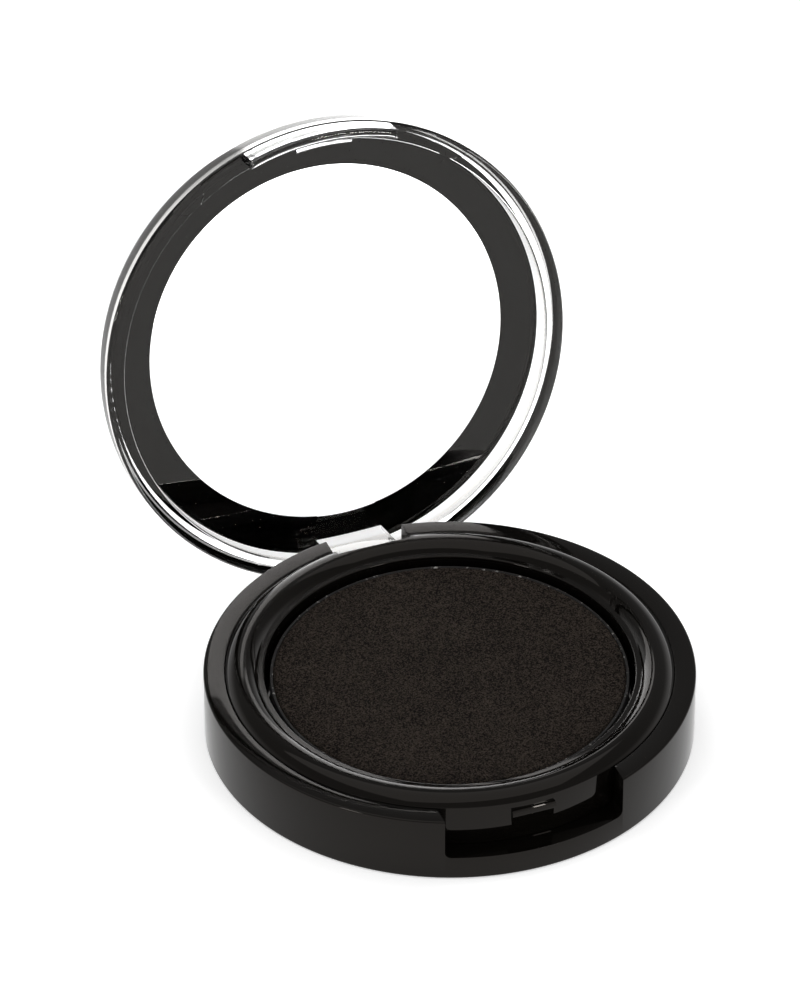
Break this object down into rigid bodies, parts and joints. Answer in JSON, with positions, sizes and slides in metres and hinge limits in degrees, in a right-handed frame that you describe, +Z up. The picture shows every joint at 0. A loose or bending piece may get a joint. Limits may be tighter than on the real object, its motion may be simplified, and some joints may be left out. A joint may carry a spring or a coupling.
{
  "type": "eyeshadow compact",
  "caption": "Round single-pan eyeshadow compact: glossy black base with a thumb notch, pressed powder in a metal pan, and a clear hinged lid with a black band.",
  "frame": {"origin": "centre of the underside, on the plane the compact stands on", "axes": "+Z up; -Y towards the thumb notch and the catch; +Y towards the hinge; +X along the hinge pin"},
  "size_m": [0.0502, 0.0669, 0.05],
  "materials": {
    "black_plastic": "moulded black plastic, polished",
    "tray_plastic": "moulded black plastic, polished, fine rubbing marks",
    "pan_metal": "pressed thin sheet",
    "pressed_powder": "pressed powder, matt, fine grain",
    "glue": "flattened dab of hot glue",
    "label": "plain paper label, blank",
    "pin_steel": "drawn wire",
    "clear_plastic": "clear moulded plastic, polished",
    "black_print": "opaque black film, glossy"
  },
  "bodies": {
    "base": {"base_shell": "black_plastic", "inner_tray": "tray_plastic", "pan": "pan_metal", "powder_cake": "pressed_powder", "pan_glue": "glue", "base_label": "label", "hinge_pin": "pin_steel"},
    "lid": {"lid_shell": "clear_plastic", "lid_band": "black_print"}
  },
  "joints": [
    {"name": "lid_hinge", "type": "hinge", "parent": "base", "child": "lid", "pos_m": [0, 0.023, 0.0038], "axis": [1, 0, 0], "range_deg": [0, 104]}
  ]
}
